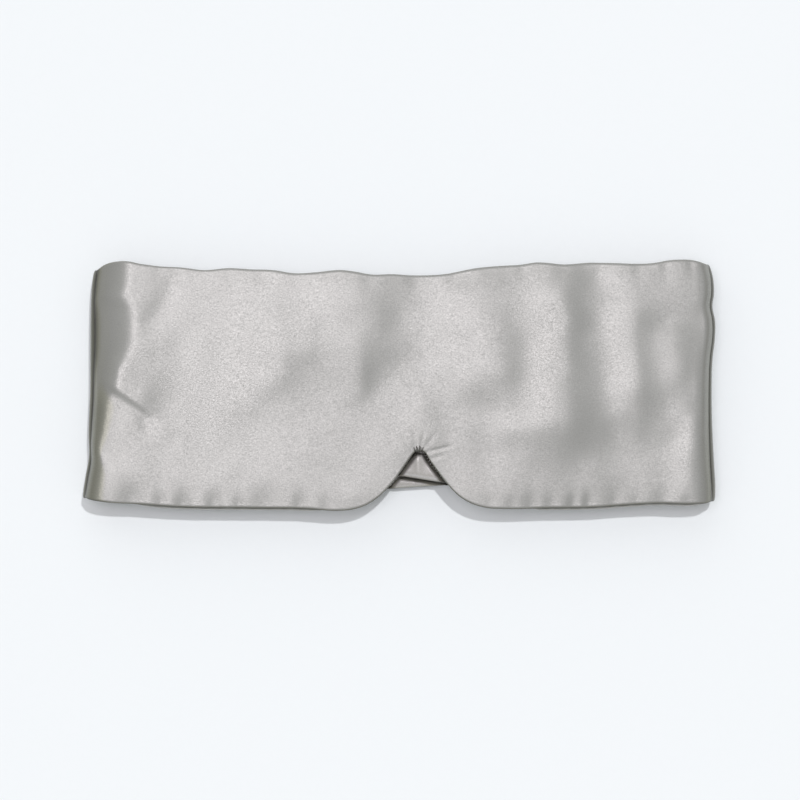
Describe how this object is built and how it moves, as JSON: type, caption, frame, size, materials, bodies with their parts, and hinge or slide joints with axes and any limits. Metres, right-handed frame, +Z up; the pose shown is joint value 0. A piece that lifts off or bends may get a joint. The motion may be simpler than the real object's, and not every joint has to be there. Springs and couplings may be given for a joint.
{
  "type": "sleep eye mask",
  "caption": "Padded grey satin sleep mask with a nose notch and two padded wings that wrap round the head and close with hook and loop tape, lying folded flat.",
  "frame": {"origin": "on the surface the folded mask lies on, under the middle of its bounding box", "axes": "+Z up out of the front face, +Y towards the brow edge, +X towards the right fold as seen from above"},
  "size_m": [0.2593, 0.103, 0.0192],
  "materials": {
    "face_satin": "soft satin weave with a low broad sheen",
    "lining_satin": "soft satin weave, a little warmer than the face",
    "wadding": "matte white polyester fibre",
    "blackout_cloth": "matte black plain weave",
    "hook_tape": "grey woven nylon with rows of moulded hooks",
    "loop_tape": "grey brushed loop pile",
    "thread": "twisted polyester thread",
    "label_tape": "blank white satin label tape"
  },
  "bodies": {
    "front": {"front_outer_satin": "face_satin", "front_blackout_interlining": "blackout_cloth", "front_wadding": "wadding", "front_inner_satin": "lining_satin", "nose_notch_tack": "thread"},
    "left_wing": {"left_wing_outer_satin": "face_satin", "left_wing_wadding": "wadding", "left_wing_inner_satin": "lining_satin", "hook_tape": "hook_tape", "hook_tape_stitching": "thread", "care_label": "label_tape"},
    "right_wing": {"right_wing_outer_satin": "face_satin", "right_wing_wadding": "wadding", "right_wing_inner_satin": "lining_satin", "loop_tape": "loop_tape", "loop_tape_stitching": "thread"}
  },
  "joints": [
    {"name": "left_wing_fold", "type": "hinge", "parent": "front", "child": "left_wing", "pos_m": [-0.12675, 0, 0.0096], "axis": [0.063, 0.998, 0], "range_deg": [0, 180]},
    {"name": "right_wing_fold", "type": "hinge", "parent": "front", "child": "right_wing", "pos_m": [0.13, 0, 0.0096], "axis": [0, -1, 0], "range_deg": [0, 180]}
  ],
  "couplings": [
    {"joint": "right_wing_fold", "follows": "left_wing_fold", "ratio": 1}
  ]
}
